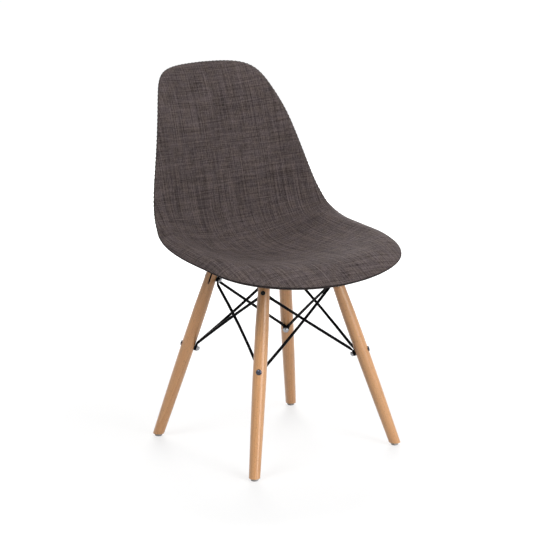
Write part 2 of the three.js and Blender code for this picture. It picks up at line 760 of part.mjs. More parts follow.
function addCorner(corner) {
  const { name, upright, stake } = corner;
  const bolts = boltPlaces(corner);
  stake.add(piece(`leg_${name}`, makeLeg(corner), 'beech'));
  stake.add(piece(`glide_${name}`, makeGlide(corner), 'glidePlastic'));
  stake.add(piece(`upper_bolt_${name}`, makeUpperBolt(corner), 'blackSteel'));
  stake.add(piece(`lower_bolt_${name}`, makeLowerBolt(corner), 'darkSteel'));
  stake.add(piece(`upper_cap_nut_${name}`, makeCapNut(corner, bolts.upper), 'brightSteel'));
  stake.add(piece(`lower_cap_nut_${name}`, makeCapNut(corner, bolts.lower), 'brightSteel'));
  upright.add(piece(`bracket_${name}`, makeBracket(corner), 'blackSteel'));
  const mount = new THREE.Group();
  mount.position.set(screwOffset(corner), 0, -legTopHeight);
  mount.add(piece(`spacer_${name}`, makeSpacer(), 'rubber'));
  mount.add(piece(`insert_${name}`, makeInsert(), 'brass'));
  mount.add(piece(`seat_screw_${name}`, makeSeatScrew(), 'blackSteel'));
  upright.add(mount);
  chair.add(upright);
}

function addRods() {
  corners.forEach((corner, index) => {
    const next = corners[(index + 1) % corners.length];
    const inner = makeWay(corner, next, 'far');
    const outer = makeWay(next, corner, 'near');
    const innerRod = makeRod(inner, crossingBow(inner, outer, 1));
    const outerRod = makeRod(outer, crossingBow(outer, inner, -1));
    chair.add(piece(`rod_${corner.name}_down_to_${next.name}`, innerRod, 'blackSteel'));
    chair.add(piece(`rod_${next.name}_down_to_${corner.name}`, outerRod, 'blackSteel'));
  });
}

addShell();
corners.forEach(addCorner);
addRods();

// The origin lies on the floor under the middle of the whole chair
const reach = new THREE.Box3().setFromObject(chair, true);
chair.position.y = -(reach.min.y + reach.max.y) / 2;
const model = new THREE.Group();
model.add(chair);

export default model;
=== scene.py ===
import math

import bpy
import numpy as np
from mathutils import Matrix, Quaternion, Vector


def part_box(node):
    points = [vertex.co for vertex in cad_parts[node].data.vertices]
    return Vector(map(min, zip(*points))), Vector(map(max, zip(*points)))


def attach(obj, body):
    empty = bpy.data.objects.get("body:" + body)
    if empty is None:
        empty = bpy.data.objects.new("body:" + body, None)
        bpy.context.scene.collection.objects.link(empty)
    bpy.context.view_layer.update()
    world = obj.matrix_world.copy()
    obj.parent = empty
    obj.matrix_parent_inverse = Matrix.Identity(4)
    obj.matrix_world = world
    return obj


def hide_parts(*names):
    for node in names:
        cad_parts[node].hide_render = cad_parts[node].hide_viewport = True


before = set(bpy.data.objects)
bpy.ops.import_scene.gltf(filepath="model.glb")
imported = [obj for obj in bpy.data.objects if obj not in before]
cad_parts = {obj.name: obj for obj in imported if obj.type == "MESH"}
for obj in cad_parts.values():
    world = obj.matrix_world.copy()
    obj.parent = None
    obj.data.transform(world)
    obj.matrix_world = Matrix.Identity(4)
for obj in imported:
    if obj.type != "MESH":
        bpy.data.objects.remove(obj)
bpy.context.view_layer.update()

# Side chair: an upholstered bucket shell on four splayed beech legs with crossed steel rods.
# Metres, +Z up. The sitter faces -Y, +X is to the sitter's left, and the chair stands on z = 0.

CORNERS = ["front_left", "rear_left", "rear_right", "front_right"]

# Shell: its centre line in side view, measured on the upholstered face
SEAT_HEIGHT = 0.424
BACK_RISE = 0.3939
SHELL_DEPTH = 0.5062
FRONT_EDGE_PLACE = -0.2547
DEPTH_SHARES = [0, 0.148, 0.267, 0.387, 0.509, 0.629, 0.747, 0.803, 0.824, 0.864, 0.901, 0.943, 1]
RISE_SHARES = [0.056, 0.046, 0.029, 0.008, -0.004, 0, 0.056, 0.207, 0.357, 0.524, 0.699, 0.858, 1]

# Shell: how far its sides stand up out of the centre line, as a bowl that steepens outwards
SHELL_WIDTH = 0.5081
BOWL_HEIGHT = 0.0962
BOWL_POWER = 2.2
BOWL_SHARES = [0.28, 0.29, 0.46, 0.6, 0.76, 0.87, 0.92, 0.79, 0.7, 0.87, 1, 0.92, 0.95]

# Shell: its outline laid flat, from the front edge's middle round one side to the top's middle
WIDTH_SHARES = [0, 0.274, 0.552, 0.822, 0.984, 1, 0.999, 0.977, 0.944, 0.915, 0.858, 0.781, 0.704,
                0.618, 0.513, 0.251, 0]
LENGTH_SHARES = [0, 0, 0.016, 0.055, 0.132, 0.218, 0.298, 0.385, 0.473, 0.566, 0.652, 0.734, 0.821,
                 0.895, 0.977, 1, 1]
MIDDLE_SHARE = 0.48

# Shell: its edge rolls outward and down, widest round the seat
ROLL_WIDTH = 0.075
ROLL_DROP = 0.0372
ROLL_WIDTH_SHARES = [1, 1, 0.96, 0.91, 0.83, 0.8, 0.77, 0.72, 0.59, 0.45, 0.37, 0.32, 0.29, 0.27,
                     0.27, 0.27, 0.27]
ROLL_DROP_SHARES = [1, 0.95, 0.92, 0.87, 0.85, 0.85, 0.92, 0.9, 0.7, 0.48, 0.41, 0.34, 0.29, 0.25,
                    0.22, 0.18, 0.09]

# Shell: its layers from the sitter down, as depths under the upholstered face
COVER_THICKNESS = 0.0009
COVER_EDGE_SWELL = 0.0004
FOAM_TOP_DEPTH = 0.0013
FOAM_EDGE_THICKNESS = 0.0028
FOAM_SWELL = 0.005
FOAM_INSET = 0.0045
FOAM_EDGE_SWELL = 0.001
BACK_COVER_DEPTH = 0.0106
BACK_COVER_EDGE_DEPTH = 0.0032
BACK_COVER_EDGE_WIDTH = 0.0055
BACK_COVER_EDGE_ROUND = 2.4

# Fineness of the shell's pieces, and of the lengths measured over its face
COVER_SPOKES = 252
COVER_RINGS = 84
FOAM_SPOKES = 96
FOAM_RINGS = 28
RING_CROWDING = 1.6
CENTRE_SAMPLES = 201
OUTLINE_SAMPLES = 2001
CLOTH_SAMPLES = 33
RUN_STEP = 0.0002
DIRECTION_STEP = 0.0008

# Seam: the front cover's puckered hem, a dark cord under it, and thread whipped over both
HEM_DEPTH = 0.0012
HEM_REACH = 0.0003
HEM_RADIUS = 0.0013
HEM_PUCKER = 0.0006
CORD_DEPTH = 0.0029
CORD_REACH = 0.0004
CORD_RADIUS = 0.0009
STITCH_PITCH = 0.0096
STITCH_RADIUS = 0.0004
STITCH_DEPTH = 0.0020
STITCH_REACH = 0.0002
STITCH_HALF_HEIGHT = 0.0020
STITCH_HALF_WIDTH = 0.0013
STITCH_SLANT = 0.0009
SEAM_SIDES = 10
STATIONS_PER_STITCH = 8
STITCH_STATIONS = 14
STITCH_SIDES = 6
JUST_INSIDE_EDGE = 0.9995

# Holes in the back cover, round the bosses
HOLE_RADIUS = 0.0176
HOLE_LENGTH = 0.12
HOLE_SIDES = 48

# Solids: how far their edges are eased, and the bend at which an edge counts as sharp
SOLID_EASE = 0.0003
LEG_EASE = 0.0006
EASE_STEPS = 2
SHARP_BEND = math.radians(50)
WELD_REACH = 0.00001

# Cloth: threads and slubs in metres, changes over the cloth per metre, and strengths of tone
THREAD_PITCH = 0.00125
SLUB_LENGTH = 0.06
THREAD_WANDER = 0.0014
WANDER_CHANGES = 28.0
THREAD_STEP = 7.31
THREAD_STRENGTH = 1.65
CROSSING_BLEND = 0.1
STREAKS_ACROSS = 480.0
STREAKS_ALONG = 5.0
WARP_STREAK_STRENGTH = 0.7
WEFT_STREAK_STRENGTH = 0.4
NUBS_ACROSS = 520.0
NUBS_ALONG = 170.0
NUB_STRENGTH = 0.85
PATCH_CHANGES = 22.0
PATCH_STRENGTH = 0.1
WARMTH_CHANGES = 45.0
CLOTH_TONE_RANGE = 0.32
THREAD_HEIGHT_RANGE = 2.4
THREAD_RELIEF = 0.00022
COOL_DARK_THREAD = (0.0260, 0.0200, 0.0202, 1)
COOL_LIGHT_THREAD = (0.158, 0.126, 0.125, 1)
WARM_DARK_THREAD = (0.0260, 0.0195, 0.0180, 1)
WARM_LIGHT_THREAD = (0.160, 0.126, 0.118, 1)

# Beech: rings round a heart beside the leg, and grain drawn out along it by these shares
RING_WIDTH = 0.0055
HEART_ASIDE = 0.045
RING_WANDER = 0.010
RING_WANDER_CHANGES = 60.0
RING_WANDER_ALONG = 0.06
RING_SHARE = 0.35
STREAK_CHANGES = 700.0
STREAK_ALONG = 0.03
FLECK_CHANGES = 1100.0
FLECK_ALONG = 0.22
FLECK_STRENGTH = 0.6
WOOD_RELIEF = 0.00006
DARK_BEECH = (0.63, 0.278, 0.103, 1)
LIGHT_BEECH = (0.82, 0.457, 0.205, 1)
FLECK_BROWN = (0.20, 0.088, 0.036, 1)

# Plain finishes: cloudy marks per metre, and how far their roughness changes with them
CLOUD_CHANGES = 70.0
FINE_GRAIN_SIZE = 0.0006
ROUGHNESS_CHANGE = 0.15

# Camera, solved from the photograph: the viewer's bearing, height, distance and slight tilt
VIEW_BEARING = math.radians(-37.58)
VIEW_ELEVATION = math.radians(14.03)
VIEW_TILT = math.radians(0.25)
VIEW_DISTANCE = 4.5
VIEW_TARGET = Vector((-0.0058, -0.0092, 0.3897))
SENSOR_WIDTH = 36.0
LENS = 137.04

# Lamps: name, degrees to the right of the viewer, degrees above the horizon, power in watts
LAMP_SIZE = 1.8
LAMP_DISTANCE = 3.2
LAMP_AIM = Vector((0, 0, 0.4))
LAMPS = [
    ("left_lamp", -45, 50, 38),
    ("right_lamp", 45, 50, 30),
    ("low_right_lamp", 45, 15, 39),
    ("side_lamp", 90, 50, 19),
    ("backdrop_glow", 180, 15, 80),
    ("back_lamp", 180, 50, 45),
]

# Floor and world: white where they are seen, and dimmer greys for the light that they give
WHITE = (1, 1, 1, 1)
FLOOR_HALF_WIDTH = 12.0
FLOOR_BOUNCE = (0.5, 0.5, 0.5, 1)
FLOOR_SHADED = (0.3, 0.3, 0.3, 1)
FLOOR_GLOW_NEAR = (0.70, 0.70, 0.70, 1)
FLOOR_NEAR = 0.5
FLOOR_FAR = 1.3
DAYLIGHT = (0.06, 0.06, 0.06, 1)


# The shell's face, worked out from its centre line, bowl, outline and rolled edge

def smooth(table, at):
    """A cubic B-spline led by evenly spaced values, which carries on straight past both ends."""
    table = np.asarray(table, float)
    last = len(table) - 1
    led = np.concatenate([[2 * table[0] - table[1]], table, [2 * table[-1] - table[-2]]])
    inside = np.clip(at, 0, 1)
    beyond = (at - inside) * last
    step = np.minimum(np.floor(inside * last).astype(int), last - 1)
    f = inside * last - step
    before = (1 - f) ** 3 * led[step]
    start = (3 * f ** 3 - 6 * f ** 2 + 4) * led[step + 1]
    end = (-3 * f ** 3 + 3 * f ** 2 + 3 * f + 1) * led[step + 2]
    after = f ** 3 * led[step + 3]
    slope = np.where(beyond < 0, table[1] - table[0], table[-1] - table[-2])
    return (before + start + end + after) / 6 + beyond * slope


def unit(vectors):
    return vectors / np.linalg.norm(vectors, axis=-1, keepdims=True)


def lengths_between(points):
    return np.linalg.norm(np.diff(points, axis=0), axis=-1)


def full_turn(count):
    """Evenly spaced angles once round."""
    return np.linspace(0, 2 * math.pi, count, endpoint=False)


def centre_line(at):
    """Reach and height of the shell's centre line, from the front edge to the top."""
    reach = FRONT_EDGE_PLACE + SHELL_DEPTH * smooth(DEPTH_SHARES, at)
    return np.stack([reach, SEAT_HEIGHT + BACK_RISE * smooth(RISE_SHARES, at)], axis=-1)


CENTRE_LENGTH = lengths_between(centre_line(np.linspace(0, 1, CENTRE_SAMPLES))).sum()

# The outline as it lies flat, known by its bearing from the middle of the shell
outline_share = np.linspace(0, 1, OUTLINE_SAMPLES)
outline_across = SHELL_WIDTH / 2 * smooth(WIDTH_SHARES, outline_share)
outline_along = smooth(LENGTH_SHARES, outline_share) - MIDDLE_SHARE
outline_reach = np.hypot(outline_across, outline_along * CENTRE_LENGTH)
outline_bearing = np.arctan2(outline_across, -outline_along * CENTRE_LENGTH)


def upholstered_face(across, along):
    """Points of the upholstered face, across in metres and along as a share of the centre line."""
    offset = (along - MIDDLE_SHARE) * CENTRE_LENGTH
    bearing = np.arctan2(np.abs(across), -offset)
    share = np.interp(bearing, outline_bearing, outline_share)
    inset = np.interp(bearing, outline_bearing, outline_reach) - np.hypot(across, offset)
    rolled = np.maximum(0, 1 - inset / (ROLL_WIDTH * smooth(ROLL_WIDTH_SHARES, share)))
    drop = ROLL_DROP * smooth(ROLL_DROP_SHARES, share) * rolled ** 2
    steepness = (np.abs(across) / (SHELL_WIDTH / 2)) ** BOWL_POWER
    rise = BOWL_HEIGHT * smooth(BOWL_SHARES, along) * steepness - drop
    run = unit(centre_line(along + RUN_STEP) - centre_line(along - RUN_STEP))
    middle = centre_line(along)
    reach = middle[..., 0] - rise * run[..., 1]
    height = middle[..., 1] + rise * run[..., 0]
    return np.stack([across, reach, height], axis=-1)


def face_directions(across, along):
    """Directions out of the upholstered face, towards the sitter."""
    step = DIRECTION_STEP
    share = step / CENTRE_LENGTH
    aside = upholstered_face(across + step, along) - upholstered_face(across - step, along)
    upward = upholstered_face(across, along + share) - upholstered_face(across, along - share)
    return unit(np.cross(aside, upward))


def cloth_places(across, along):
    """Places on the cloth in metres from its middle: across the face, along the centre line."""
    steps = np.linspace(0, 1, CLOTH_SAMPLES)[:, None]
    wide = lengths_between(upholstered_face(steps * across, along + 0 * steps)).sum(0)
    return np.stack([wide * np.sign(across), (along - MIDDLE_SHARE) * CENTRE_LENGTH], axis=-1)


# Half of the shell's edge, from the middle of its front to the middle of its top
half_edge_lengths = lengths_between(upholstered_face(outline_across, outline_along + MIDDLE_SHARE))


def rim_places(count):
    """Where evenly spaced points of the edge lie: across and along from the middle."""
    length = np.concatenate([[0], np.cumsum(half_edge_lengths)])
    turn = 2 * np.arange(count) / count
    share = np.interp(np.where(turn <= 1, turn, 2 - turn) * length[-1], length, outline_share)
    side = np.where(turn <= 1, 1.0, -1.0)
    across = side * np.interp(share, outline_share, outline_across)
    return across, np.interp(share, outline_share, outline_along)


class Net:
    """Points of the face in rings round its middle, crowded towards the edge."""

    def __init__(self, spokes, rings, inset=0.0):
        edge_across, edge_along = rim_places(spokes)
        reach = np.hypot(edge_across, edge_along * CENTRE_LENGTH)
        crowded = 1 - (1 - np.arange(1, rings + 1) / rings) ** RING_CROWDING
        share = crowded[:, None] * (1 - inset / reach)
        self.spokes = spokes
        self.rings = rings
        self.across = np.concatenate([[0], (share * edge_across).ravel()])
        self.along = MIDDLE_SHARE + np.concatenate([[0], (share * edge_along).ravel()])
        self.inset = np.concatenate([[reach.min()], ((1 - share) * reach).ravel()])
        self.share = np.concatenate([[0], share.ravel()])
        self.points = upholstered_face(self.across, self.along)
        self.directions = face_directions(self.across, self.along)
        self.cloth = cloth_places(self.across, self.along)

    def under(self, depth):
        return self.points - self.directions * np.reshape(depth, (-1, 1))

    def faces(self):
        here = np.arange(self.spokes)
        after = (here + 1) % self.spokes
        found = [(0, 1 + a, 1 + b) for a, b in zip(here, after)]
        for ring in range(self.rings - 1):
            inner = 1 + ring * self.spokes
            outer = inner + self.spokes
            found += [(inner + a, outer + a, outer + b, inner + b) for a, b in zip(here, after)]
        return found


def foam_swell(share):
    """How much thicker the foam is inside than at its edge."""
    return FOAM_SWELL * np.maximum(0, 1 - share ** 2)


def foam_bottom(net):
    return FOAM_TOP_DEPTH + FOAM_EDGE_THICKNESS + foam_swell(net.share)


def back_cover_top(net):
    """Depth of the back cover's hidden side, rounded up to the seam at the edge."""
    full = BACK_COVER_DEPTH + foam_swell(net.share)
    into = np.clip(net.inset / BACK_COVER_EDGE_WIDTH, 0, 1)
    rounded = (1 - (1 - into) ** BACK_COVER_EDGE_ROUND) ** (1 / BACK_COVER_EDGE_ROUND)
    return BACK_COVER_EDGE_DEPTH + (full - BACK_COVER_EDGE_DEPTH) * rounded


# Making pieces from points and faces

def make_object(name, points, faces, material):
    mesh = bpy.data.meshes.new(name)
    mesh.from_pydata(np.asarray(points).tolist(), [], [[int(i) for i in face] for face in faces])
    mesh.materials.append(material)
    mesh.polygons.foreach_set("use_smooth", [True] * len(mesh.polygons))
    mesh.update()
    piece = bpy.data.objects.new(name, mesh)
    bpy.context.scene.collection.objects.link(piece)
    return piece


def set_cloth_map(piece, places):
    """A map from the mesh to places on the cloth, in metres."""
    layer = piece.data.uv_layers.new(name="cloth")
    corners = np.zeros(len(piece.data.loops), int)
    piece.data.loops.foreach_get("vertex_index", corners)
    layer.data.foreach_set("uv", np.asarray(places)[corners].astype(np.float32).ravel())


def make_layer(name, net, top_depth, bottom_depth, material, edge_swell):
    """A closed layer of the shell between two depths, with its edge rounded out."""
    top = net.under(top_depth)
    bottom = net.under(bottom_depth)
    count = len(top)
    edge = np.arange(count - net.spokes, count)
    outward = unit(top[edge] - top[edge - net.spokes])
    swell = (top[edge] + bottom[edge]) / 2 + outward * edge_swell
    faces = net.faces()
    faces += [[count + i for i in reversed(face)] for face in net.faces()]
    for here in range(net.spokes):
        after = (here + 1) % net.spokes
        middle = 2 * count + here
        next_middle = 2 * count + after
        faces.append([edge[here], middle, next_middle, edge[after]])
        faces.append([middle, count + edge[here], count + edge[after], next_middle])
    piece = make_object(name, np.concatenate([top, bottom, swell]), faces, material)
    set_cloth_map(piece, np.concatenate([net.cloth, net.cloth, net.cloth[edge]]))
    return piece


def rings_round(centres, first, second, radii, sides):
    """Rings of points round centres, in the plane of two directions."""
    turn = full_turn(sides)[None, :, None]
    radii = np.broadcast_to(radii, len(centres))[:, None, None]
    reach = first[:, None, :] * np.cos(turn) + second[:, None, :] * np.sin(turn)
    return centres[:, None, :] + radii * reach


def make_tubes(name, runs, material):
    """Tubes joined in one object. Each run is its rings of points, and whether it closes up."""
    points = []
    faces = []
    for rings, closed in runs:
        stations, sides = rings.shape[:2]
        first = sum(len(p) for p in points)
        points.append(rings.reshape(-1, 3))
        for station in range(stations if closed else stations - 1):
            here = first + station * sides
            after = first + (station + 1) % stations * sides
            for side in range(sides):
                following = (side + 1) % sides
                faces.append([here + side, here + following, after + following, after + side])
        if not closed:
            faces.append([first + side for side in reversed(range(sides))])
            faces.append([first + (stations - 1) * sides + side for side in range(sides)])
    return make_object(name, np.concatenate(points), faces, material)


def apply_modifiers(piece):
    shown = piece.evaluated_get(bpy.context.evaluated_depsgraph_get())
    finished = bpy.data.meshes.new_from_object(shown)
    piece.modifiers.clear()
    old = piece.data
    piece.data = finished
    bpy.data.meshes.remove(old)


def cut_round_holes(piece, places, radius, height):
    """Cuts upright round holes through a piece, and applies the cut."""
    turn = full_turn(HOLE_SIDES)
    circle = np.stack([radius * np.cos(turn), radius * np.sin(turn), 0 * turn], axis=1)
    runs = []
    for place in places:
        low = circle + np.array(place) - (0, 0, height / 2)
        runs.append((np.stack([low, low + (0, 0, height)]), False))
    cutter = make_tubes("hole_cutter", runs, piece.data.materials[0])
    cut = piece.modifiers.new("Holes", "BOOLEAN")
    cut.object = cutter
    cut.operation = "DIFFERENCE"
    cut.solver = "EXACT"
    apply_modifiers(piece)
    bpy.data.objects.remove(cutter)


# Nodes of materials and groups

# A Mix node's sockets by number: its share and two ends, and its result, for each kind of data
MIX_INPUTS = {"FLOAT": (0, 2, 3), "RGBA": (0, 6, 7)}
MIX_RESULT = {"FLOAT": 0, "RGBA": 2}


def feed_socket(tree, socket, feed):
    if isinstance(feed, bpy.types.NodeSocket):
        tree.links.new(feed, socket)
    else:
        socket.default_value = feed


def add_node(tree, kind, feeds=None, **settings):
    """A node with its settings made, and its inputs fed by sockets or given values."""
    node = tree.nodes.new(kind)
    for name, value in settings.items():
        setattr(node, name, value)
    for name, feed in (feeds or {}).items():
        feed_socket(tree, node.inputs[name], feed)
    return node


def work_out(tree, operation, *feeds):
    node = add_node(tree, "ShaderNodeMath", operation=operation)
    for socket, feed in zip(node.inputs, feeds):
        feed_socket(tree, socket, feed)
    return node.outputs[0]


def add_up(tree, total, *others):
    for other in others:
        total = work_out(tree, "ADD", total, other)
    return total


def about_nought(tree, value, strength):
    """A value about a half, brought to lie about nought at this strength."""
    return work_out(tree, "MULTIPLY", work_out(tree, "SUBTRACT", value, 0.5), strength)


def spread(tree, value, low, high, to_low=0.0, to_high=1.0):
    """Spreads a value from one range to another, held inside it."""
    feeds = {
        "Value": value,
        "From Min": low,
        "From Max": high,
        "To Min": to_low,
        "To Max": to_high,
    }
    return add_node(tree, "ShaderNodeMapRange", feeds).outputs["Result"]


def mix(tree, kind, share, first, second):
    node = add_node(tree, "ShaderNodeMix", data_type=kind)
    for number, feed in zip(MIX_INPUTS[kind], (share, first, second)):
        feed_socket(tree, node.inputs[number], feed)
    return node.outputs[MIX_RESULT[kind]]


def mix_values(tree, share, first, second):
    return mix(tree, "FLOAT", share, first, second)


def mix_colours(tree, share, first, second):
    return mix(tree, "RGBA", share, first, second)


def noise_at(tree, place, scale=1.0, detail=2.0, roughness=0.5):
    feeds = {"Vector": place, "Scale": scale, "Detail": detail, "Roughness": roughness}
    return add_node(tree, "ShaderNodeTexNoise", feeds).outputs["Fac"]


def split_place(tree, place):
    return add_node(tree, "ShaderNodeSeparateXYZ", {"Vector": place}).outputs


def join_place(tree, x, y, z):
    return add_node(tree, "ShaderNodeCombineXYZ", {"X": x, "Y": y, "Z": z}).outputs[0]


def start_group(name, inputs, outputs):
    """A node group with named inputs, each with its kind and value, and named outputs."""
    group = bpy.data.node_groups.new(name, "ShaderNodeTree")
    for label, kind, value in inputs:
        socket_type = "NodeSocket" + kind
        socket = group.interface.new_socket(label, in_out="INPUT", socket_type=socket_type)
        if value is not None:
            socket.default_value = value
    for label in outputs:
        group.interface.new_socket(label, in_out="OUTPUT", socket_type="NodeSocketFloat")
    given = group.nodes.new("NodeGroupInput").outputs
    result = group.nodes.new("NodeGroupOutput").inputs
    return group, given, result


def use_group(tree, group, feeds):
    """A group placed in a material with its own values."""
    return add_node(tree, "ShaderNodeGroup", feeds, node_tree=group).outputs


def make_thread_tone(tree, count, run, seed):
    """How light each thread is, changing slowly along it, about nought."""
    own = work_out(tree, "MULTIPLY", work_out(tree, "FLOOR", count), THREAD_STEP)
    noise = noise_at(tree, join_place(tree, own, run, seed), roughness=0.6)
    return work_out(tree, "SUBTRACT", noise, 0.5)


def make_streaks(tree, across, along, seed, strength):
    """Streaks two or three threads wide, where thick and thin yarn gathers, about nought."""
    aside = work_out(tree, "MULTIPLY", across, STREAKS_ACROSS)
    run = work_out(tree, "MULTIPLY", along, STREAKS_ALONG)
    noise = noise_at(tree, join_place(tree, aside, run, seed), detail=1.0, roughness=0.6)
    return about_nought(tree, noise, strength)


def make_nubs(tree, wide, long, seed, strength):
    """Short nubs in the yarn, about nought."""
    aside = work_out(tree, "MULTIPLY", wide, NUBS_ACROSS)
    run = work_out(tree, "MULTIPLY", long, NUBS_ALONG)
    noise = noise_at(tree, join_place(tree, aside, run, seed), roughness=0.6)
    return about_nought(tree, noise, strength)


def make_thread_round(tree, count):
    """Height over one thread's round back, nought at both its sides."""
    wave = work_out(tree, "SINE", work_out(tree, "MULTIPLY", count, math.pi))
    return work_out(tree, "ABSOLUTE", wave)


def make_slub_weave():
    """Plain weave of uneven threads: what shows is one thread or the one that crosses it."""
    group, given, result = start_group(
        "Slub weave",
        [
            ("Place", "Vector", None),
            ("Thread Pitch", "Float", THREAD_PITCH),
            ("Slub Length", "Float", SLUB_LENGTH),
        ],
        ["Tone", "Warmth", "Height"],
    )
    wander = noise_at(group, given["Place"], WANDER_CHANGES, detail=1.0)
    shift = about_nought(group, wander, THREAD_WANDER)
    place = split_place(group, given["Place"])
    wide = work_out(group, "ADD", place["X"], shift)
    long = work_out(group, "SUBTRACT", place["Y"], shift)
    warp_count = work_out(group, "DIVIDE", wide, given["Thread Pitch"])
    weft_count = work_out(group, "DIVIDE", long, given["Thread Pitch"])
    warp_run = work_out(group, "DIVIDE", long, given["Slub Length"])
    weft_run = work_out(group, "DIVIDE", wide, given["Slub Length"])
    warp_tone = make_thread_tone(group, warp_count, warp_run, seed=3.7)
    weft_tone = make_thread_tone(group, weft_count, weft_run, seed=61.3)

    warp_round = make_thread_round(group, warp_count)
    weft_round = make_thread_round(group, weft_count)
    warp_number = work_out(group, "FLOOR", warp_count)
    weft_number = work_out(group, "FLOOR", weft_count)
    number = work_out(group, "ADD", warp_number, weft_number)
    odd = work_out(group, "FLOORED_MODULO", number, 2.0)
    over = work_out(group, "SUBTRACT", 1.0, work_out(group, "MULTIPLY", odd, 2.0))
    over_weft = work_out(group, "MULTIPLY", over, weft_round)
    over_warp = work_out(group, "MULTIPLY", over, warp_round)
    warp_height = work_out(group, "ADD", warp_round, over_weft)
    weft_height = work_out(group, "SUBTRACT", weft_round, over_warp)
    ahead = work_out(group, "SUBTRACT", warp_height, weft_height)
    warp_shows = spread(group, ahead, -CROSSING_BLEND, CROSSING_BLEND)
    thread_tone = mix_values(group, warp_shows, weft_tone, warp_tone)

    patch = noise_at(group, given["Place"], PATCH_CHANGES)
    tone = add_up(
        group,
        work_out(group, "MULTIPLY", thread_tone, THREAD_STRENGTH),
        make_streaks(group, wide, long, seed=3.0, strength=WARP_STREAK_STRENGTH),
        make_streaks(group, long, wide, seed=17.0, strength=WEFT_STREAK_STRENGTH),
        make_nubs(group, wide, long, seed=5.0, strength=NUB_STRENGTH),
        about_nought(group, patch, PATCH_STRENGTH),
    )
    warmth = noise_at(group, given["Place"], WARMTH_CHANGES, detail=3.0)
    height = add_up(group, work_out(group, "MAXIMUM", warp_height, weft_height), thread_tone)
    group.links.new(tone, result["Tone"])
    group.links.new(warmth, result["Warmth"])
    group.links.new(height, result["Height"])
    return group


def make_wood_grain():
    """Straight grain of turned beech: rings cut along their length, streaks and dark flecks."""
    group, given, result = start_group(
        "Beech grain",
        [("Place", "Vector", None), ("Ring Width", "Float", RING_WIDTH)],
        ["Ring Tone", "Streak Tone", "Flecks"],
    )
    place = split_place(group, given["Place"])

    def drawn_out(share):
        """The place with its way along the leg shortened, which draws the grain out."""
        along = work_out(group, "MULTIPLY", place["Z"], share)
        return join_place(group, place["X"], place["Y"], along)

    noise = noise_at(group, drawn_out(RING_WANDER_ALONG), RING_WANDER_CHANGES)
    wander = work_out(group, "MULTIPLY", noise, RING_WANDER)
    aside = add_up(group, place["X"], HEART_ASIDE, wander)
    aside_squared = work_out(group, "POWER", aside, 2.0)
    behind_squared = work_out(group, "POWER", place["Y"], 2.0)
    from_heart = work_out(group, "SQRT", work_out(group, "ADD", aside_squared, behind_squared))
    ring = work_out(group, "FRACT", work_out(group, "DIVIDE", from_heart, given["Ring Width"]))
    streak = noise_at(group, drawn_out(STREAK_ALONG), STREAK_CHANGES, detail=3.0, roughness=0.6)
    fleck = noise_at(group, drawn_out(FLECK_ALONG), FLECK_CHANGES, detail=1.0)
    group.links.new(ring, result["Ring Tone"])
    group.links.new(streak, result["Streak Tone"])
    group.links.new(spread(group, fleck, low=0.62, high=0.74), result["Flecks"])
    return group


def make_fine_grain():
    """Fine unevenness of a moulded, painted or plated surface, with faint cloudy marks."""
    group, given, result = start_group(
        "Fine grain",
        [("Place", "Vector", None), ("Grain Size", "Float", FINE_GRAIN_SIZE)],
        ["Grain", "Cloud"],
    )
    scale = work_out(group, "DIVIDE", 1.0, given["Grain Size"])
    group.links.new(noise_at(group, given["Place"], scale), result["Grain"])
    cloud = noise_at(group, given["Place"], CLOUD_CHANGES, detail=3.0)
    group.links.new(cloud, result["Cloud"])
    return group


SLUB_WEAVE = make_slub_weave()
WOOD_GRAIN = make_wood_grain()
FINE_GRAIN = make_fine_grain()


# Materials

def start_material(name, constants):
    """A material whose Principled shader has these numbers and colours set on it."""
    material = bpy.data.materials.new(name)
    material.use_nodes = True
    shader = material.node_tree.nodes["Principled BSDF"]
    for label, value in constants.items():
        shader.inputs[label].default_value = value
    return material, material.node_tree, shader


def add_bump(tree, shader, height, distance):
    feeds = {"Height": height, "Distance": distance, "Strength": 1.0}
    bump = add_node(tree, "ShaderNodeBump", feeds)
    tree.links.new(bump.outputs["Normal"], shader.inputs["Normal"])


def make_upholstery():
    material, tree, shader = start_material("charcoal_slub_cloth", {"Specular IOR Level": 0.1})
    place = add_node(tree, "ShaderNodeUVMap", uv_map="cloth").outputs["UV"]
    feeds = {"Place": place, "Thread Pitch": THREAD_PITCH, "Slub Length": SLUB_LENGTH}
    weave = use_group(tree, SLUB_WEAVE, feeds)
    tone = spread(tree, weave["Tone"], -CLOTH_TONE_RANGE, CLOTH_TONE_RANGE)
    cool = mix_colours(tree, tone, COOL_DARK_THREAD, COOL_LIGHT_THREAD)
    warm = mix_colours(tree, tone, WARM_DARK_THREAD, WARM_LIGHT_THREAD)
    warmth = spread(tree, weave["Warmth"], low=0.4, high=0.6)
    roughness = spread(tree, weave["Height"], 0.0, THREAD_HEIGHT_RANGE, to_low=0.98, to_high=0.88)
    tree.links.new(mix_colours(tree, warmth, cool, warm), shader.inputs["Base Color"])
    tree.links.new(roughness, shader.inputs["Roughness"])
    add_bump(tree, shader, weave["Height"], THREAD_RELIEF)
    return material


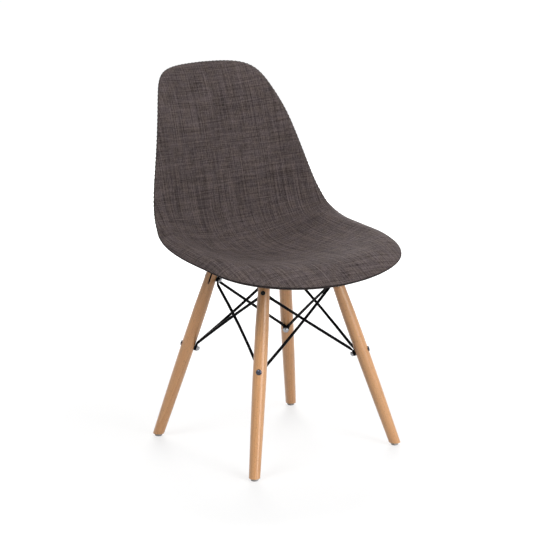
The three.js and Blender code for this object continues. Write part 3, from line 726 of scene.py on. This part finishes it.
def make_beech(corner):
    """Beech with its grain along one leg, which splays from its foot in towards the shell."""
    lacquer = {"Coat Weight": 0.65, "Coat Roughness": 0.34}
    material, tree, shader = start_material("beech_" + corner, lacquer)
    low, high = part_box("leg_" + corner)
    middle = (low + high) / 2
    foot_x, top_x = (low.x, high.x) if middle.x < 0 else (high.x, low.x)
    foot_y, top_y = (low.y, high.y) if middle.y < 0 else (high.y, low.y)
    foot = Vector((foot_x, foot_y, low.z))
    top = Vector((top_x, top_y, high.z))
    where = add_node(tree, "ShaderNodeTexCoord").outputs["Object"]
    mapping = add_node(tree, "ShaderNodeMapping", {"Vector": where}, vector_type="TEXTURE")
    mapping.inputs["Location"].default_value = foot
    mapping.inputs["Rotation"].default_value = (top - foot).to_track_quat("Z", "Y").to_euler()
    feeds = {"Place": mapping.outputs["Vector"], "Ring Width": RING_WIDTH}
    grain = use_group(tree, WOOD_GRAIN, feeds)
    tone = mix_values(tree, RING_SHARE, grain["Streak Tone"], grain["Ring Tone"])
    wood = mix_colours(tree, spread(tree, tone, low=0.1, high=0.9), DARK_BEECH, LIGHT_BEECH)
    fleck = work_out(tree, "MULTIPLY", grain["Flecks"], FLECK_STRENGTH)
    roughness = spread(tree, grain["Streak Tone"], 0.3, 0.7, to_low=0.38, to_high=0.30)
    relief = work_out(tree, "SUBTRACT", grain["Streak Tone"], grain["Flecks"])
    tree.links.new(mix_colours(tree, fleck, wood, FLECK_BROWN), shader.inputs["Base Color"])
    tree.links.new(roughness, shader.inputs["Roughness"])
    add_bump(tree, shader, relief, WOOD_RELIEF)
    return material


def make_plain_finish(name, colour, roughness, grain, relief, change=0.12, metal=0.0, shine=0.5):
    """A painted, plated or moulded finish: one colour with fine grain and faint clouds.

    grain is the size of the grain and relief its height, both in metres, and change is how far
    the colour strays to each side.
    """
    constants = {"Metallic": metal, "Specular IOR Level": shine}
    material, tree, shader = start_material(name, constants)
    place = add_node(tree, "ShaderNodeTexCoord").outputs["Object"]
    fine = use_group(tree, FINE_GRAIN, {"Place": place, "Grain Size": grain})
    dark = [c * (1 - change) for c in colour] + [1]
    light = [c * (1 + change) for c in colour] + [1]
    mixed = spread(tree, mix_values(tree, 0.5, fine["Grain"], fine["Cloud"]), low=0.3, high=0.7)
    smoothest = roughness * (1 - ROUGHNESS_CHANGE)
    roughest = roughness * (1 + ROUGHNESS_CHANGE)
    rough = spread(tree, fine["Cloud"], 0.3, 0.7, to_low=smoothest, to_high=roughest)
    tree.links.new(mix_colours(tree, mixed, dark, light), shader.inputs["Base Color"])
    tree.links.new(rough, shader.inputs["Roughness"])
    add_bump(tree, shader, fine["Grain"], relief)
    return material


def make_shiny_metal(name, colour, roughness, grain):
    return make_plain_finish(name, colour, roughness, grain, relief=0.00002, change=0.1, metal=1.0)


upholstery = make_upholstery()
thread = make_plain_finish(
    "dark_seam_thread", (0.012, 0.010, 0.010), 0.9, 0.0005, 0.0002, change=0.4, shine=0.1
)
dark_edging = make_plain_finish(
    "dark_edging", (0.032, 0.027, 0.026), 0.9, 0.0009, 0.0003, change=0.35, shine=0.1
)
foam = make_plain_finish("pale_foam", (0.69, 0.62, 0.43), 0.95, 0.0012, 0.0006)
black_steel = make_plain_finish(
    "satin_black_steel", (0.004, 0.004, 0.005), 0.26, 0.0005, 0.00003, shine=0.03
)
black_plate = make_shiny_metal("black_plated_steel", (0.030, 0.034, 0.032), 0.3, 0.0007)
dark_nickel = make_shiny_metal("dark_nickel_plate", (0.060, 0.064, 0.085), 0.22, 0.0007)
plated_steel = make_shiny_metal("bright_plated_steel", (0.34, 0.35, 0.37), 0.3, 0.0007)
brass = make_shiny_metal("turned_brass", (0.60, 0.42, 0.16), 0.28, 0.0006)
rubber = make_plain_finish(
    "black_rubber", (0.014, 0.014, 0.014), 0.7, 0.0005, 0.00006, change=0.2
)
moulding = make_plain_finish(
    "moulded_black_plastic", (0.022, 0.022, 0.023), 0.5, 0.0006, 0.00008, change=0.15
)
nylon = make_plain_finish("grey_nylon", (0.55, 0.55, 0.54), 0.45, 0.0006, 0.00005)


# The solids that keep their shape get their finishes, smooth shading and slightly eased edges

CORNER_FINISHES = {
    "glide": nylon,
    "upper_bolt": black_plate,
    "lower_bolt": dark_nickel,
    "upper_cap_nut": plated_steel,
    "lower_cap_nut": plated_steel,
    "bracket": black_steel,
    "spacer": rubber,
    "insert": brass,
    "seat_screw": black_steel,
}


def finish_solid(node, material, ease=SOLID_EASE):
    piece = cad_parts[node]
    for slot in piece.material_slots:
        slot.material = material
    piece.data.polygons.foreach_set("use_smooth", [True] * len(piece.data.polygons))
    weld = piece.modifiers.new("Weld", "WELD")
    weld.merge_threshold = WELD_REACH
    bevel = piece.modifiers.new("Eased edges", "BEVEL")
    bevel.width = ease
    bevel.segments = EASE_STEPS
    bevel.limit_method = "ANGLE"
    bevel.angle_limit = SHARP_BEND
    split = piece.modifiers.new("Sharp edges", "EDGE_SPLIT")
    split.split_angle = SHARP_BEND
    piece.modifiers.new("Shading", "WEIGHTED_NORMAL")


for corner in CORNERS:
    finish_solid("leg_" + corner, make_beech(corner), LEG_EASE)
    for kind, material in CORNER_FINISHES.items():
        finish_solid(kind + "_" + corner, material)
for corner, neighbour in zip(CORNERS, CORNERS[1:] + CORNERS[:1]):
    finish_solid("rod_" + corner + "_down_to_" + neighbour, black_steel)
    finish_solid("rod_" + neighbour + "_down_to_" + corner, black_steel)
finish_solid("shell_core", moulding)


# The shell's soft pieces

cover_net = Net(COVER_SPOKES, COVER_RINGS)
foam_net = Net(FOAM_SPOKES, FOAM_RINGS, FOAM_INSET)
foam_depth = foam_bottom(foam_net)
back_depth = back_cover_top(cover_net)

front_cover = make_layer(
    "front_cloth", cover_net, 0.0, COVER_THICKNESS, upholstery, COVER_EDGE_SWELL
)
foam_pad = make_layer(
    "foam_pad", foam_net, FOAM_TOP_DEPTH, foam_depth, foam, FOAM_EDGE_SWELL
)
back_cover = make_layer(
    "back_cloth", cover_net, back_depth, back_depth + COVER_THICKNESS, upholstery, COVER_EDGE_SWELL
)

boss_places = []
for corner in CORNERS:
    low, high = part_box("spacer_" + corner)
    boss_places.append((low + high) / 2)
cut_round_holes(back_cover, boss_places, HOLE_RADIUS, HOLE_LENGTH)

# The seam runs round the shell's edge, and every stitch has the same number of stations

station_count = round(2 * half_edge_lengths.sum() / STITCH_PITCH) * STATIONS_PER_STITCH
edge_across, edge_along = rim_places(station_count)
edge_points = upholstered_face(edge_across, edge_along + MIDDLE_SHARE)
edge_up = face_directions(
    edge_across * JUST_INSIDE_EDGE, edge_along * JUST_INSIDE_EDGE + MIDDLE_SHARE
)
edge_run = unit(np.roll(edge_points, -1, axis=0) - np.roll(edge_points, 1, axis=0))
edge_out = unit(np.cross(edge_run, edge_up))


def beside_edge(depth, reach):
    return edge_points - edge_up * depth + edge_out * np.reshape(reach, (-1, 1))


stitch_phase = 2 * math.pi * np.arange(station_count) / STATIONS_PER_STITCH
pucker = HEM_PUCKER * ((1 - np.cos(stitch_phase)) / 2 - 0.5)
hem_centres = beside_edge(HEM_DEPTH, HEM_REACH + pucker)
hem_rings = rings_round(hem_centres, edge_out, edge_up, HEM_RADIUS + pucker, SEAM_SIDES)
hem = make_tubes("front_hem", [(hem_rings, True)], dark_edging)
cord_centres = beside_edge(CORD_DEPTH, CORD_REACH)
cord_rings = rings_round(cord_centres, edge_out, edge_up, CORD_RADIUS, SEAM_SIDES)
seam_cord = make_tubes("seam_cord", [(cord_rings, True)], thread)

stitch_middles = beside_edge(STITCH_DEPTH, STITCH_REACH)
stitch_turn = full_turn(STITCH_STATIONS)[:, None]
stitch_runs = []
for station in range(0, station_count, STATIONS_PER_STITCH):
    out, up, run = edge_out[station], edge_up[station], edge_run[station]
    loop_out = out * np.cos(stitch_turn) * STITCH_HALF_WIDTH
    loop_up = up * np.sin(stitch_turn) * STITCH_HALF_HEIGHT
    loop = loop_out + loop_up
    centres = stitch_middles[station] + loop + run * np.sin(stitch_turn) * STITCH_SLANT
    rings = rings_round(centres, unit(loop), run + 0 * loop, STITCH_RADIUS, STITCH_SIDES)
    stitch_runs.append((rings, True))
stitches = make_tubes("seam_stitches", stitch_runs, thread)

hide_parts("front_cover")
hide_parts("seat_foam")
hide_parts("back_cover")
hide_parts("edge_binding")
for piece in (front_cover, foam_pad, back_cover, hem, seam_cord, stitches):
    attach(piece, "root")


# Stage: a plain white floor, a dim world, and six large soft lamps round the chair

def seen_directly(tree):
    """One for what is seen straight on, in gloss or through glass, and nought for light."""
    path = add_node(tree, "ShaderNodeLightPath").outputs
    seen = work_out(tree, "MAXIMUM", path["Is Camera Ray"], path["Is Glossy Ray"])
    return work_out(tree, "MAXIMUM", seen, path["Is Transmission Ray"])


def make_floor():
    """A floor that looks white and takes the chair's shadow, and gives back a modest light."""
    material = bpy.data.materials.new("white_floor")
    material.use_nodes = True
    tree = material.node_tree
    tree.nodes.clear()
    plain = add_node(tree, "ShaderNodeBsdfDiffuse", {"Color": FLOOR_BOUNCE})
    shaded = add_node(tree, "ShaderNodeBsdfDiffuse", {"Color": FLOOR_SHADED})
    place = add_node(tree, "ShaderNodeTexCoord").outputs["Object"]
    distance = add_node(tree, "ShaderNodeVectorMath", {0: place}, operation="LENGTH")
    away = spread(tree, distance.outputs["Value"], FLOOR_NEAR, FLOOR_FAR)
    glow = mix_colours(tree, away, FLOOR_GLOW_NEAR, WHITE)
    white = add_node(tree, "ShaderNodeEmission", {"Color": glow, "Strength": 1.0})
    pale = add_node(tree, "ShaderNodeAddShader")
    tree.links.new(shaded.outputs[0], pale.inputs[0])
    tree.links.new(white.outputs[0], pale.inputs[1])
    choice = add_node(tree, "ShaderNodeMixShader", {"Fac": seen_directly(tree)})
    tree.links.new(plain.outputs[0], choice.inputs[1])
    tree.links.new(pale.outputs[0], choice.inputs[2])
    output = add_node(tree, "ShaderNodeOutputMaterial")
    tree.links.new(choice.outputs[0], output.inputs["Surface"])
    half = FLOOR_HALF_WIDTH
    points = [(-half, -half, 0), (half, -half, 0), (half, half, 0), (-half, half, 0)]
    make_object("floor", points, [(0, 1, 2, 3)], material)


def make_world():
    world = bpy.data.worlds.new("soft_daylight")
    world.use_nodes = True
    tree = world.node_tree
    colour = mix_colours(tree, seen_directly(tree), DAYLIGHT, WHITE)
    tree.links.new(colour, tree.nodes["Background"].inputs["Color"])
    bpy.context.scene.world = world


def direction_to(bearing, elevation):
    """The way from the chair to a viewer or lamp. Bearing 0 is straight in front of the sitter."""
    level = math.cos(elevation)
    return Vector((math.sin(bearing) * level, -math.cos(bearing) * level, math.sin(elevation)))


def turn_towards(direction):
    """The turn of a lamp or camera that looks this way, with its top upwards."""
    return direction.to_track_quat("-Z", "Y")


def add_lamp(name, right_of_view, elevation, power):
    """A round soft lamp that faces the chair."""
    light = bpy.data.lights.new(name, "AREA")
    light.shape = "DISK"
    light.size = LAMP_SIZE
    light.energy = power
    toward = direction_to(VIEW_BEARING + math.radians(right_of_view), math.radians(elevation))
    lamp = bpy.data.objects.new(name, light)
    lamp.location = LAMP_AIM + toward * LAMP_DISTANCE
    lamp.rotation_euler = turn_towards(-toward).to_euler()
    bpy.context.scene.collection.objects.link(lamp)


def make_camera():
    toward = direction_to(VIEW_BEARING, VIEW_ELEVATION)
    camera = bpy.data.objects.new("camera", bpy.data.cameras.new("camera"))
    camera.data.lens = LENS
    camera.data.sensor_width = SENSOR_WIDTH
    camera.location = VIEW_TARGET + toward * VIEW_DISTANCE
    tilt = Quaternion((0, 0, 1), VIEW_TILT)
    camera.rotation_euler = (turn_towards(-toward) @ tilt).to_euler()
    bpy.context.scene.collection.objects.link(camera)
    bpy.context.scene.camera = camera


for unused in ("Camera", "Cube", "Light"):
    if unused in bpy.data.objects:
        bpy.data.objects.remove(bpy.data.objects[unused])
make_floor()
make_world()
make_camera()
for lamp in LAMPS:
    add_lamp(*lamp)
bpy.context.scene.view_settings.view_transform = "Standard"
